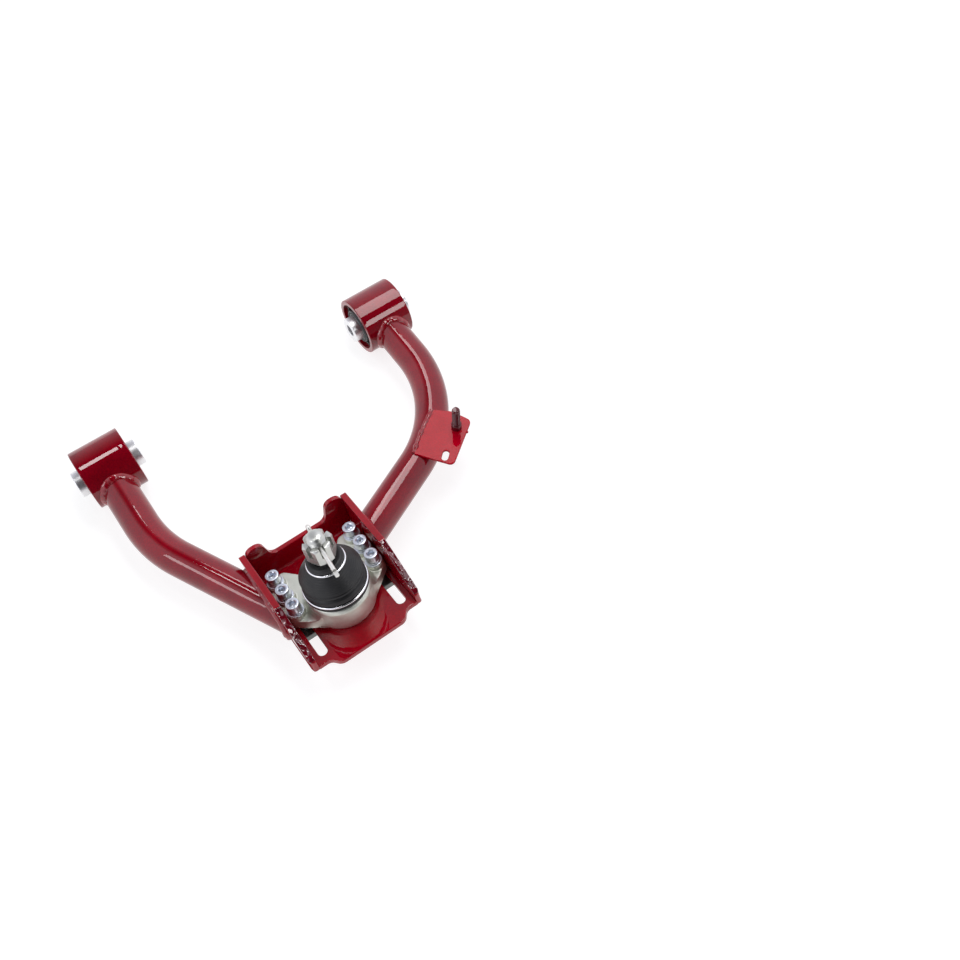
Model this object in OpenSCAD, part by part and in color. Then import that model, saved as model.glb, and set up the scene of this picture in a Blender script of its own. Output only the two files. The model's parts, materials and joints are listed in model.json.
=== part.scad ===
// Tubular control arm with two pivot bushes and a slotted box that carries a
// sliding ball-joint cartridge. The pivot axis is X, the box points to -Y, Z is up.
// Origin: centre of the front pivot bore.

/* [Pivot] */
// Distance between the centres of the two pivot housings
pivot_span = 308; // [200:1:400]
// Outer diameter of the pivot housings
housing_od = 60; // [40:0.5:80]
// Inner diameter of the pivot housings
housing_id = 50; // [30:0.5:70]
// Length of each pivot housing
housing_len = 50; // [30:1:80]
// Outer diameter of the inner sleeves
sleeve_od = 26; // [16:0.5:32]
// Bore of the inner sleeves, for an M12 pivot bolt
sleeve_bore = 12.2; // [8:0.1:16]
// Length of the inner sleeves
sleeve_len = 66; // [40:1:100]

/* [Tubes] */
// Outer diameter of the bent tubes
tube_od = 33.7; // [20:0.1:50]
// Wall of the bent tubes
tube_wall = 3.2; // [2:0.1:5]
// Bend radius of the tube centre lines
bend_r = 120; // [80:1:160]
// Bend angle of the front tube
front_bend = 26.7; // [10:0.1:60]
// Bend angle of the rear tube
rear_bend = 65.5; // [40:0.1:80]

/* [Box] */
// X of the box centre plane
box_x = 110.3; // [80:0.1:160]
// Y of the ball-joint centre on the base plate
box_y = -250; // [-320:1:-200]
// Z of the base plate's top face under the ball joint
box_z = -3.15; // [-20:0.05:20]
// Angle that raises the outboard edge of the box
box_tilt = 16; // [0:0.5:25]
// Clear width between the side plates
box_inner = 102; // [80:1:140]
// Thickness of the side plates
side_t = 6; // [4:0.5:10]
// Thickness of the base plate and its bent-up wall
base_t = 5; // [3:0.5:8]
// Height of the side plates above the base plate
side_h = 42; // [25:1:60]
// Distance between the two slots
slot_span = 82; // [60:1:110]
// Width of the slots, for M8 screws
slot_w = 9; // [8.4:0.1:11]

/* [Ball joint] */
// Radius of the cup
cup_r = 30; // [24:0.5:36]
// Radius of the ball
ball_r = 14; // [10:0.5:18]
// Height of the ball centre above the base plate
ball_h = 20; // [14:0.5:26]
// Spacing of the three screws in a row
screw_pitch = 20; // [16:0.5:26]
// Offset of the front screws from the ball centre
screw_y = 9.5; // [0:0.5:20]
// Thread diameter of the stud
stud_d = 16; // [12:1:20]

/* [Hidden] */
$fn = 96;

RED = [0.52, 0.02, 0.05];
DARK = [0.36, 0.01, 0.04];
STEEL = [0.78, 0.78, 0.80];
ZINC = [0.74, 0.76, 0.72];
RUBBER = [0.06, 0.06, 0.07];
BLACK = [0.16, 0.17, 0.18];
LINER = [0.86, 0.84, 0.76];

housing_r = housing_od / 2;
tube_r = tube_od / 2;
front_tube_x = -2;
rear_tube_x = pivot_span + 1;
front_start = 72;
rear_start = 62;
box_half = box_inner / 2;
box_out = box_half + side_t;
slot_x = slot_span / 2;
screw_rear = screw_y + 2 * screw_pitch;
gap = 0.3;
boss_h = 18.5;
washer_t = 1.8;
spring_t = 2.2;
head_z = boss_h + washer_t + spring_t;
nut_plate_z = -base_t - gap - 6;
nut_z = 76;
pin_z = 92;
shell_r = 23;
bracket_z = tube_r - 1.2;

// corner points with each corner turned into a short arc of radius r
function unit(v) = v / norm(v);
function fillet(a, b, c, r, n) =
  let (u = unit(a - b), w = unit(c - b), h = acos(u * w) / 2, d = r / tan(h),
       m = b + unit(u + w) * r / sin(h), s = b + u * d - m, e = b + w * d - m,
       t = acos(s * e / (r * r)), k = cross(s, e) > 0 ? 1 : -1)
  [for (i = [0:n]) m + [s[0] * cos(k * t * i / n) - s[1] * sin(k * t * i / n),
                        s[0] * sin(k * t * i / n) + s[1] * cos(k * t * i / n)]];
function rounded(p, r, n = 7) =
  [for (i = [0:len(p) - 1])
    let (a = p[(i + len(p) - 1) % len(p)], b = p[i], c = p[(i + 1) % len(p)])
    each (r[i] > 0 ? fillet(a, b, c, r[i], n) : [b])];
function mirrored(p) = [for (i = [len(p) - 1:-1:0]) [-p[i][0], p[i][1]]];
function mirrored_r(r) = [for (i = [len(r) - 1:-1:0]) r[i]];

// the box frame: origin under the ball on the base plate, Z along the stud
module in_box() translate([box_x, box_y, box_z]) rotate([-box_tilt, 0, 0]) children();
module along_x(x) translate([x, 0, 0]) rotate([0, 90, 0]) children();
module ring(ro, ri, h) difference() {
  cylinder(r = ro, h = h);
  translate([0, 0, -1]) cylinder(r = ri, h = h + 2);
}
module bead(p, r) for (i = [0:len(p) - 2]) hull() {
  translate(p[i]) sphere(r = r, $fn = 8);
  translate(p[i + 1]) sphere(r = r, $fn = 8);
}

// ---------------------------------------------------------------- welded arm
module housing(x) along_x(x - housing_len / 2) difference() {
  cylinder(r = housing_r, h = housing_len);
  translate([0, 0, -1]) cylinder(r = housing_id / 2, h = housing_len + 2);
}
module front_pivot_housing() color(RED) housing(0);
module rear_pivot_housing() color(RED) housing(pivot_span);

// a tube from the pivot axis: straight, one bend, straight; side 1 bends to +X
module bent_bar(r, x, start, bend, run, side, over) translate([x, 0, 0]) mirror([side < 0 ? 1 : 0, 0, 0]) {
  translate([0, over, 0]) rotate([90, 0, 0]) cylinder(r = r, h = start + over);
  translate([bend_r, -start, 0]) rotate([0, 0, 180]) rotate_extrude(angle = bend)
    translate([bend_r, 0]) circle(r = r);
  translate([bend_r, -start, 0]) rotate([0, 0, bend]) translate([-bend_r, 0, 0])
    rotate([90, 0, 0]) cylinder(r = r, h = run);
}
module front_tube() color(RED) difference() {
  bent_bar(tube_r, front_tube_x, front_start, front_bend, 150, 1, -24);
  bent_bar(tube_r - tube_wall, front_tube_x, front_start, front_bend, 151, 1, -20);
  along_x(-60) cylinder(r = housing_r, h = 120);
  translate([box_x - box_out, -400, -60]) cube([120, 300, 120]);
}
module rear_tube() color(RED) difference() {
  bent_bar(tube_r, rear_tube_x, rear_start, rear_bend, 110, -1, -24);
  bent_bar(tube_r - tube_wall, rear_tube_x, rear_start, rear_bend, 111, -1, -20);
  along_x(pivot_span - 60) cylinder(r = housing_r, h = 120);
  translate([box_x + box_out - 120, -400, -60]) cube([120, 300, 120]);
}

base_half = [[0, -50.5], [33, -50.5], [40, -41.5], [box_half, -41.5], [box_half, 71]];
base_rad = [0, 9, 7, 0, 0];
wall_half = [[box_half - gap, 4.5], [box_half - gap, 44], [34, 44], [29, 24], [0, 24]];
wall_rad = [0, 8, 8, 8, 0];
module slot(x) translate([x, 0, -1 - base_t]) {
  translate([0, -29.5, 0]) cylinder(r = slot_w / 2, h = base_t + 2);
  translate([0, screw_rear + 0.4, 0]) cylinder(r = slot_w / 2, h = base_t + 2);
  translate([-slot_w / 2, -29.5, 0]) cube([slot_w, screw_rear + 29.9, base_t + 2]);
}
module base_plate() color(RED) in_box() {
  difference() {
    translate([0, 0, -base_t]) linear_extrude(base_t)
      polygon(concat(rounded(base_half, base_rad), mirrored(rounded(base_half, base_rad))));
    slot(slot_x);
    slot(-slot_x);
  }
  difference() {
    translate([gap - box_half, 71, 4.5]) rotate([0, 90, 0]) difference() {
      cylinder(r = 4.5 + base_t, h = box_inner - 2 * gap);
      translate([0, 0, -1]) cylinder(r = 4.5, h = box_inner);
    }
    translate([-box_half, 71 - 20, -10]) cube([box_inner, 20, 40]);
    translate([-box_half, 50, 4.5]) cube([box_inner, 50, 40]);
  }
  translate([0, 75.5 + base_t, 0]) rotate([90, 0, 0]) linear_extrude(base_t)
    polygon(concat(rounded(wall_half, wall_rad), mirrored(rounded(wall_half, wall_rad))));
}

side_pts = [[-41.5, -base_t], [67, -base_t], [79.5, 8], [79.5, side_h], [5, side_h], [-41.5, 9]];
side_rad = [1.5, 10, 10, 3, 4, 5];
// seen from above, both side plates have rounded outer front corners
plan_pts = [[-box_out, -41.5], [box_out, -41.5], [box_out, 90], [-box_out, 90]];
module side_plate(x) in_box() intersection() {
  translate([x, 0, 0]) rotate([90, 0, 90]) linear_extrude(side_t) polygon(rounded(side_pts, side_rad));
  translate([0, 0, -10]) linear_extrude(60) polygon(rounded(plan_pts, [4.5, 4.5, 0, 0]));
}
module front_side_plate() color(RED) side_plate(-box_out);
module rear_side_plate() color(RED) side_plate(box_half);

bracket_pts = [[283.5, -138.7], [298, -151.5], [307, -170.5], [265, -200.5], [241, -168]];
bracket_rad = [2, 14, 5, 5, 2];
module line_bracket() color(RED) difference() {
  translate([0, 0, bracket_z]) union() {
    linear_extrude(3) polygon(rounded(bracket_pts, bracket_rad));
    translate([296.5, -178, 0]) cylinder(r = 1.3, h = 3, $fn = 24);
  }
  translate([264.6, -187.6, 0]) rotate([0, 0, 41]) {
    translate([2.4, 0, 0]) cylinder(r = 3.2, h = 40, $fn = 48);
    translate([-2.4, 0, 0]) cylinder(r = 3.2, h = 40, $fn = 48);
    translate([-2.4, -3.2, 0]) cube([4.8, 6.4, 40]);
  }
}
module bracket_stud() color(DARK) translate([290.9, -168.5, bracket_z + 3]) {
  cylinder(r = 5, h = 7);
  cylinder(r = 4, h = 30);
  translate([0, 0, 30]) cylinder(r1 = 4, r2 = 2.8, h = 2.4);
}

// weld beads
module housing_weld(x) bead([for (a = [0:10:360])
  let (u = (tube_r + 1.2) * cos(a), w = (tube_r + 1.2) * sin(a))
  [x + u, -sqrt(pow(housing_r + 1.2, 2) - w * w), w]], 2.6);
module front_housing_weld() color(RED) housing_weld(front_tube_x);
module rear_housing_weld() color(RED) housing_weld(rear_tube_x);
// point on a tube's straight end where it meets the plane at X = xp
function end_ring(x, start, bend, side, xp, r) = [for (a = [0:10:360])
  let (d = [side * sin(bend), -cos(bend)], n = [cos(bend), side * sin(bend)],
       c = [x + side * bend_r * (1 - cos(bend)), -start - bend_r * sin(bend)],
       q = c + n * r * cos(a), t = (xp - q[0]) / d[0])
  [xp, q[1] + d[1] * t, r * sin(a)]];
module front_box_weld() color(RED) bead(
  end_ring(front_tube_x, front_start, front_bend, 1, box_x - box_out - 0.6, tube_r + 0.8), 2.4);
module rear_box_weld() color(RED) bead(
  end_ring(rear_tube_x, rear_start, rear_bend, -1, box_x + box_out + 0.6, tube_r + 0.8), 2.4);
module box_seam_welds() color(RED) in_box() for (s = [-1, 1])
  translate([s * box_half, 64, -base_t]) rotate([90, 0, 0]) cylinder(r = 1.4, h = 98, $fn = 24);
module bracket_weld() color(RED) bead([for (i = [0:12])
  let (t = i / 12) [283 - 41 * t, -138.4 - 29.2 * t + 5 * t * (1 - t), tube_r + 0.6]], 2);

// ---------------------------------------------------------------- bushes
module bush_shell(x) along_x(x - 20) ring(housing_id / 2, shell_r, 40);
module front_bush_shell() color(BLACK) bush_shell(0);
module rear_bush_shell() color(BLACK) bush_shell(pivot_span);
// bonded rubber: flat web with a raised lip around the sleeve
module bush_rubber(x) along_x(x) rotate_extrude() polygon([
  [sleeve_od / 2 + 0.05, -24], [17.4, -24], [18.2, -23], [18.6, -15.5], [shell_r, -16.5],
  [shell_r, 16.5], [18.6, 15.5], [18.2, 23], [17.4, 24], [sleeve_od / 2 + 0.05, 24]]);
module front_bush_rubber() color(RUBBER) bush_rubber(0);
module rear_bush_rubber() color(RUBBER) bush_rubber(pivot_span);
module sleeve(x) along_x(x - sleeve_len / 2) difference() {
  rotate_extrude() polygon([[0, 0], [sleeve_od / 2 - 1, 0], [sleeve_od / 2, 1],
    [sleeve_od / 2, sleeve_len - 1], [sleeve_od / 2 - 1, sleeve_len], [0, sleeve_len]]);
  translate([0, 0, -1]) cylinder(r = sleeve_bore / 2, h = sleeve_len + 2);
}
module front_sleeve() color(STEEL) sleeve(0);
module rear_sleeve() color(STEEL) sleeve(pivot_span);

// ---------------------------------------------------------------- cartridge
module at_screws() for (s = [-1, 1], i = [0:2])
  translate([s * slot_x, screw_y + i * screw_pitch, 0]) children();
ear_half = [[0, -20], [18, -21.4], [50.2, 5.6], [50.2, 60], [30, 60], [8, 33], [0, 33]];
ear_rad = [0, 0, 9, 9, 7, 5, 0];
ear_half_in = [[0, -17], [17, -17.5], [47.5, 8], [47.5, 57.5], [31, 57.5], [9, 31], [0, 31]];
module joint_housing() color(ZINC) in_box() difference() {
  union() {
    translate([0, 0, 4]) linear_extrude(10)
      polygon(concat(rounded(ear_half, ear_rad), mirrored(rounded(ear_half, ear_rad))));
    translate([0, 0, gap]) linear_extrude(4)
      polygon(concat(rounded(ear_half_in, ear_rad), mirrored(rounded(ear_half_in, ear_rad))));
    rotate_extrude() polygon([[0, gap], [26.5, gap], [cup_r, 6], [cup_r, 26], [cup_r - 1.2, 28.8],
      [cup_r - 4, 30], [24.5, 30], [24.5, 38], [0, 38]]);
    intersection() {
      rotate_extrude() polygon([[24, 12], [37, 12], [37, 13.9], [34.4, 14.5], [32.2, 16],
        [30.8, 18.6], [29.8, 22], [24, 22]]);
      translate([0, 0, 8]) linear_extrude(20)
        polygon(concat(rounded(ear_half, ear_rad), mirrored(rounded(ear_half, ear_rad))));
    }
    at_screws() translate([0, 0, 8]) cylinder(r = 8.5, h = boss_h - 8);
  }
  translate([0, 0, 3]) cylinder(r = 20, h = 40);
  at_screws() translate([0, 0, -1]) cylinder(r = 4.3, h = 40, $fn = 48);
}
module clamp_screws() color(STEEL) in_box() at_screws() difference() {
  union() {
    translate([0, 0, nut_plate_z + 0.3]) cylinder(r = 3.9, h = head_z - nut_plate_z, $fn = 48);
    translate([0, 0, head_z]) cylinder(r = 6.5, h = 7.2);
    translate([0, 0, head_z + 7.2]) cylinder(r1 = 6.5, r2 = 5.7, h = 0.8);
  }
  translate([0, 0, head_z + 3.4]) cylinder(r = 3.46, h = 6, $fn = 6);
}
module flat_washers() color(STEEL) in_box() at_screws()
  translate([0, 0, boss_h]) ring(8, 4.2, washer_t);
module spring_washers() color(STEEL) in_box() at_screws()
  translate([0, 0, boss_h + washer_t]) difference() {
    ring(7, 4.1, spring_t);
    rotate([0, 0, 200]) translate([3, -0.6, -1]) rotate([30, 0, 0]) cube([6, 1.2, 6]);
  }
module nut_plate(s) in_box() difference() {
  translate([s * slot_x - 7.5, -4, nut_plate_z]) cube([15, 62, 6]);
  for (i = [0:2]) translate([s * slot_x, screw_y + i * screw_pitch, nut_plate_z - 1])
    cylinder(r = 4, h = 8, $fn = 48);
}
module front_nut_plate() color(BLACK) nut_plate(-1);
module rear_nut_plate() color(BLACK) nut_plate(1);

module lower_seat() color(LINER) in_box() difference() {
  translate([0, 0, 3.1]) cylinder(r = 19.9, h = ball_h - 3.2);
  translate([0, 0, ball_h]) sphere(r = ball_r + 0.05);
}
module upper_seat() color(LINER) in_box() difference() {
  translate([0, 0, ball_h + 0.1]) cylinder(r = 19.9, h = 11);
  translate([0, 0, ball_h]) sphere(r = ball_r + 0.05);
  translate([0, 0, ball_h + 4]) cylinder(r1 = 12, r2 = 13.2, h = 8);
}
module retaining_collar() color(BLACK) in_box() translate([0, 0, ball_h + 11.3]) rotate_extrude()
  polygon([[13.2, 0], [19.9, 0], [19.9, 6.4], [17.4, 6.4]]);
module lower_boot_ring() color(STEEL) in_box() translate([0, 0, 36]) rotate_extrude()
  translate([29.1, 0]) circle(r = 1.05, $fn = 24);

// rubber boot: bead, bulge, shoulder, dome and neck, hollow inside
boot_out = [[28.6, 30.8], [29.6, 31.5], [29.6, 33.2], [28.4, 34.3], [27.9, 35.2], [27.9, 36.8],
  [28.6, 38], [29, 39.8], [28.7, 42], [27.7, 43.8], [27, 44.8], [27.7, 46], [28.1, 47.6],
  [27.2, 49.3], [27.2, 50], [28.4, 51], [28.2, 52], [24.8, 57], [20.8, 61], [17.6, 63.8],
  [16, 65], [15.85, 65.6], [15.85, 66.9], [16.7, 68], [16.6, 70.2], [15.4, 71.6], [14.6, 72]];
boot_in = [[10.6, 72], [10.6, 68], [13.4, 64.2], [18, 59.6], [22, 55.4], [25, 51.4],
  [25.4, 49.8], [25, 45.6], [25, 43.6], [26, 40.4], [25.2, 38.4], [25.2, 30.8]];
module boot() color(RUBBER) in_box() rotate_extrude() polygon(concat(boot_out, boot_in));
module upper_boot_ring() color(STEEL) in_box() translate([0, 0, 66.1]) rotate_extrude()
  translate([17, 0]) circle(r = 1, $fn = 24);

// ---------------------------------------------------------------- stud
module in_stud() in_box() rotate([0, 0, -5]) children();
module ball_stud() color(ZINC) in_stud() difference() {
  union() {
    translate([0, 0, ball_h]) sphere(r = ball_r);
    rotate_extrude() polygon([[0, 30], [7.5, 30], [7.5, 40], [10, 46], [10, 52], [8.4, 74],
      [stud_d / 2, 74.6], [stud_d / 2, 99.6], [7, 101.4], [4.4, 102.4], [0, 102.6]]);
  }
  translate([0, 20, pin_z]) rotate([90, 0, 0]) cylinder(r = 2.2, h = 40, $fn = 48);
  translate([-6, -6, ball_h - ball_r - 2]) cube([12, 12, 3.2]);
}
module castle_nut() color(ZINC) in_stud() difference() {
  intersection() {
    translate([0, 0, nut_z]) cylinder(r = 12 / cos(30), h = 19, $fn = 6);
    translate([0, 0, nut_z]) rotate_extrude() polygon([[0, 0], [12.3, 0], [14, 1.4], [14, 16.6],
      [12.2, 18.6], [11.2, 19], [0, 19]]);
  }
  translate([0, 0, nut_z - 1]) cylinder(r = stud_d / 2 + 0.05, h = 22);
  for (a = [0, 60, 120]) rotate([0, 0, a]) translate([-2.4, -20, nut_z + 7.5]) cube([4.8, 40, 12]);
}
module half_leg(s, len) intersection() {
  rotate([90, 0, 0]) cylinder(r = 1.9, h = len, $fn = 48);
  translate([s > 0 ? 0.12 : -4.12, -len - 1, -4]) cube([4, len + 2, 8]);
}
module cotter_pin() color(STEEL) in_stud() translate([0, 14, pin_z]) rotate([0, 90, 0]) {
  half_leg(1, 56);
  half_leg(-1, 50);
  translate([0, 4.2, 0]) rotate_extrude() translate([3.4, 0]) circle(r = 1.35, $fn = 24);
  translate([-1.9, 0, -1.35]) cube([3.8, 1.6, 2.7]);
}

front_pivot_housing();
rear_pivot_housing();
front_tube();
rear_tube();
base_plate();
front_side_plate();
rear_side_plate();
line_bracket();
bracket_stud();
front_housing_weld();
rear_housing_weld();
front_box_weld();
rear_box_weld();
box_seam_welds();
bracket_weld();
front_bush_shell();
rear_bush_shell();
front_bush_rubber();
rear_bush_rubber();
front_sleeve();
rear_sleeve();
joint_housing();
clamp_screws();
flat_washers();
spring_washers();
front_nut_plate();
rear_nut_plate();
lower_seat();
upper_seat();
retaining_collar();
lower_boot_ring();
boot();
upper_boot_ring();
ball_stud();
castle_nut();
cotter_pin();
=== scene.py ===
import json
import math

import bmesh
import bpy
import numpy as np
from mathutils import Matrix, Vector, geometry, noise


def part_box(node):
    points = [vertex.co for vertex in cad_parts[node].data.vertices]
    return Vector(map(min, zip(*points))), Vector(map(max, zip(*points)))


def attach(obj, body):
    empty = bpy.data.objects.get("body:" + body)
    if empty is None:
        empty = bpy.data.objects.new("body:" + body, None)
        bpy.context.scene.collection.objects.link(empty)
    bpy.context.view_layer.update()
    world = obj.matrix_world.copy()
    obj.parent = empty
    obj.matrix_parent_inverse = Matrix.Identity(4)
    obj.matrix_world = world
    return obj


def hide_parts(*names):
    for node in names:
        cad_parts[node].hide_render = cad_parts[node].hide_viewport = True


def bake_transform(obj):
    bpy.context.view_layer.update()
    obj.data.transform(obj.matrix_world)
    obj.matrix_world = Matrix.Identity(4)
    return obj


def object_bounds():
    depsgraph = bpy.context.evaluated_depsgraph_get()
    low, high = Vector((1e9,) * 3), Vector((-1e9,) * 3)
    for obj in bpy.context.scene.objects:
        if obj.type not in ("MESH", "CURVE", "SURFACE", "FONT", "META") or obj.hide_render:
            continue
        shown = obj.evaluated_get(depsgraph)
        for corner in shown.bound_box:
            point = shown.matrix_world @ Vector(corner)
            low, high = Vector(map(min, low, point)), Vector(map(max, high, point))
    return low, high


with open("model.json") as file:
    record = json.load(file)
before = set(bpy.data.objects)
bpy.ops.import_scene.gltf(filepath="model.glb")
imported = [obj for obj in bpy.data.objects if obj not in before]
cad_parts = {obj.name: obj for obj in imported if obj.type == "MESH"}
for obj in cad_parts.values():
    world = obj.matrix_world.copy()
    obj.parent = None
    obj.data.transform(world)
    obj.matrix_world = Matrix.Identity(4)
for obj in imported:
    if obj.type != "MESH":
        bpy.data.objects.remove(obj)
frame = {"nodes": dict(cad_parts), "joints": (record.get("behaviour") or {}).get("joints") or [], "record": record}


def box_now():
    return [[float(v) for v in corner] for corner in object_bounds()]


cad_bounds = box_now()
joints = {j["name"]: j for j in frame["joints"]}
mounts = {m["name"]: m for m in frame["record"]["mounts"]}
MM = 0.001
TAU = 2 * math.pi
POLE = 0.001  # mm, a ring this small round an axis is merged into one point
MERGE = 2e-6  # m, points nearer than this are merged


# ------------------------------------------------------------------ frames
def axes(origin, ex, ey, ez):
    """4x4 matrix from millimetres in a local frame to metres in the row frame."""
    m = np.eye(4)
    for i, e in enumerate((ex, ey, ez)):
        m[:3, i] = np.array(e, float) * MM
    m[:3, 3] = np.array(origin, float)
    return m


def unit(v):
    v = np.array(v, float)
    return v / np.linalg.norm(v)


# Local frames, in mm. BOX: origin in the base plate's top face under the ball, u to the rear
# side plate, v to the wall, w up. STUD: the same origin, turned to the split pin. ROW: the frame's.
BALL_H = 20.0  # height of the ball centre above the base plate
up_w = unit(joints["stud_spin"]["axis"])
ball = np.array(joints["ball_tilt_x"]["pos_m"])
box_origin = ball - up_w * BALL_H * MM
side_u = np.array([1.0, 0.0, 0.0])
back_v = np.cross(up_w, side_u)
BOX = axes(box_origin, side_u, back_v, up_w)
pin_v = unit(joints["pin_pull"]["axis"])
STUD = axes(box_origin, np.cross(pin_v, up_w), pin_v, up_w)
ROW = axes((0, 0, 0), (1, 0, 0), (0, 1, 0), (0, 0, 1))
front_c = np.array(mounts["front_pivot_bore"]["pos_m"])
rear_c = np.array(mounts["rear_pivot_bore"]["pos_m"])
PIVOTS = (("front", front_c), ("rear", rear_c))


def along_x(centre):
    """The frame of a turned piece whose own axis is the pivot axis."""
    return axes(centre, (0, 1, 0), (0, 0, 1), (1, 0, 0))


# ------------------------------------------------------------------ camera
aim = Vector((0.2813, -0.2203, 0.0))
yaw, pitch, distance = math.radians(35.942), math.radians(62.142), 0.97778
level_part = math.cos(pitch)
forward = Vector((math.sin(yaw) * level_part, math.cos(yaw) * level_part, -math.sin(pitch)))
right = Vector((math.cos(yaw), -math.sin(yaw), 0))
cam_data = bpy.data.cameras.new("camera")
cam_data.sensor_width = 36
cam_data.lens = 38.394
cam_data.clip_start = 0.01
camera = bpy.data.objects.new("camera", cam_data)
bpy.context.scene.collection.objects.link(camera)
turn = Matrix((right, right.cross(forward), -forward)).transposed()
camera.matrix_world = Matrix.Translation(aim - forward * distance) @ turn.to_4x4()
bpy.context.scene.camera = camera


# ------------------------------------------------------------------ materials
def feed(tree, value, socket):
    """Links a socket, or sets a number or colour, on an input of a node."""
    if isinstance(value, (int, float)):
        socket.default_value = value
    elif isinstance(value, tuple):
        socket.default_value = (*value, 1)
    else:
        tree.links.new(value, socket)


def math_node(tree, op, a, b=0.0):
    n = tree.nodes.new("ShaderNodeMath")
    n.operation = op
    feed(tree, a, n.inputs[0])
    feed(tree, b, n.inputs[1])
    return n.outputs[0]


def range_node(tree, fac, lo, hi, from_lo, from_hi):
    n = tree.nodes.new("ShaderNodeMapRange")
    n.clamp = True
    for key, value in (("From Min", from_lo), ("From Max", from_hi), ("To Min", lo), ("To Max", hi)):
        n.inputs[key].default_value = value
    tree.links.new(fac, n.inputs["Value"])
    return n.outputs["Result"]


def ramp_node(tree, fac, stops):
    n = tree.nodes.new("ShaderNodeValToRGB")
    while len(n.color_ramp.elements) < len(stops):
        n.color_ramp.elements.new(0.5)
    for element, (at, colour) in zip(n.color_ramp.elements, stops):
        element.position = at
        element.color = (*colour, 1)
    tree.links.new(fac, n.inputs["Fac"])
    return n.outputs["Color"]


class Mat:
    """A Principled material and helpers for its procedural nodes, whose sizes are in mm."""

    def __init__(self, name, **values):
        self.mat = bpy.data.materials.new(name)
        self.mat.use_nodes = True
        self.nt = self.mat.node_tree
        self.bsdf = self.nt.nodes["Principled BSDF"]
        for key, value in values.items():
            self.bsdf.inputs[key.replace("_", " ")].default_value = value
        self.pos = self.node("ShaderNodeTexCoord").outputs["Object"]

    def node(self, kind, **settings):
        n = self.nt.nodes.new(kind)
        for key, value in settings.items():
            if key in n.inputs:
                n.inputs[key].default_value = value
            else:
                setattr(n, key, value)
        return n

    def link(self, a, b):
        self.nt.links.new(a, b)

    def noise(self, size_mm, detail=3.0, rough=0.5, distort=0.0):
        n = self.node("ShaderNodeTexNoise", Scale=1 / MM / size_mm, Detail=detail, Roughness=rough,
                      Distortion=distort)
        self.link(self.pos, n.inputs["Vector"])
        return n.outputs["Fac"]

    def cells(self, size_mm):
        n = self.node("ShaderNodeTexVoronoi", Scale=1 / MM / size_mm)
        self.link(self.pos, n.inputs["Vector"])
        return n.outputs["Color"]

    def range(self, fac, lo, hi, from_lo=0.0, from_hi=1.0):
        return range_node(self.nt, fac, lo, hi, from_lo, from_hi)

    def ramp(self, fac, stops):
        return ramp_node(self.nt, fac, stops)

    def mix(self, fac, a, b, blend="MIX"):
        n = self.node("ShaderNodeMix", data_type="RGBA", blend_type=blend)
        # inputs 6 and 7 and output 2 are the colour ones
        for value, key in ((fac, 0), (a, 6), (b, 7)):
            feed(self.nt, value, n.inputs[key])
        return n.outputs[2]

    def maths(self, op, a, b=0.0):
        return math_node(self.nt, op, a, b)

    def bump(self, height, depth_mm, strength=1.0, after=None):
        n = self.node("ShaderNodeBump", Strength=strength, Distance=depth_mm * MM)
        self.link(height, n.inputs["Height"])
        if after is not None:
            self.link(after, n.inputs["Normal"])
        return n.outputs["Normal"]

    def set(self, key, socket):
        self.link(socket, self.bsdf.inputs[key])


def make_paint(name, deep, bright, rough_cut=0.0, coat_weight=1.0, coat_ior=1.55, metallic=0.12):
    """Red paint with a fine flake under a clear coat; rough_cut is the strength of its lumps."""
    m = Mat(name, Metallic=metallic, Specular_IOR_Level=0.0, Coat_Weight=coat_weight,
            Coat_Roughness=0.02, Coat_IOR=coat_ior)
    shade = m.ramp(m.noise(30, 3), [(0.3, deep), (0.7, bright)])
    m.set("Base Color", m.mix(0.24, shade, m.cells(0.8), "SOFT_LIGHT"))
    m.set("Roughness", m.range(m.noise(3, 3), 0.34, 0.46))
    m.set("Normal", m.bump(m.noise(0.5, 2), 0.05, 0.35))
    coat = m.bump(m.noise(5.0, 1, 0.5), 0.12, 0.40)
    if rough_cut:
        coat = m.bump(m.noise(8.0, 0.6, 0.4, distort=0.4), 4.0, rough_cut, coat)
    m.set("Coat Normal", coat)
    return m.mat


def make_zinc(name, light, dark, rough, grain, tint, size=0.5):
    """Bare or plated metal with patches and a grain of that depth and size in mm."""
    m = Mat(name, Metallic=1.0)
    tone = m.ramp(m.noise(9, 4, 0.6), [(0.3, dark), (0.7, light)])
    m.set("Base Color", m.mix(m.range(m.noise(17, 3), 0.0, 0.5), tone, tint))
    m.set("Roughness", m.range(m.noise(1.6, 4, 0.6), *rough))
    fine = m.bump(m.noise(size, 4, 0.6), grain, 0.6)
    m.set("Normal", m.bump(m.noise(size * 4, 3), grain * 1.5, 0.5, fine))
    return m.mat


def make_turned(name, colour, rough, pitch_mm=0.12):
    """Turned steel: fine grooves around the object's X axis."""
    m = Mat(name, Metallic=1.0)
    split = m.node("ShaderNodeSeparateXYZ")
    m.link(m.pos, split.inputs[0])
    x, y, z = split.outputs
    radius = m.maths("SQRT", m.maths("ADD", m.maths("MULTIPLY", y, y), m.maths("MULTIPLY", z, z)))
    line = m.node("ShaderNodeTexNoise", noise_dimensions="1D", Scale=1.0, Detail=3.0, Roughness=0.6)
    m.link(m.maths("MULTIPLY", m.maths("ADD", x, radius), 1 / MM / pitch_mm), line.inputs["W"])
    groove = line.outputs["Fac"]
    m.set("Base Color", m.mix(m.range(groove, 0, 0.5), colour, tuple(c * 0.8 for c in colour)))
    m.set("Roughness", m.range(m.noise(5, 3), *rough))
    m.set("Normal", m.bump(groove, 0.012, 0.5))
    return m.mat


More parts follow.
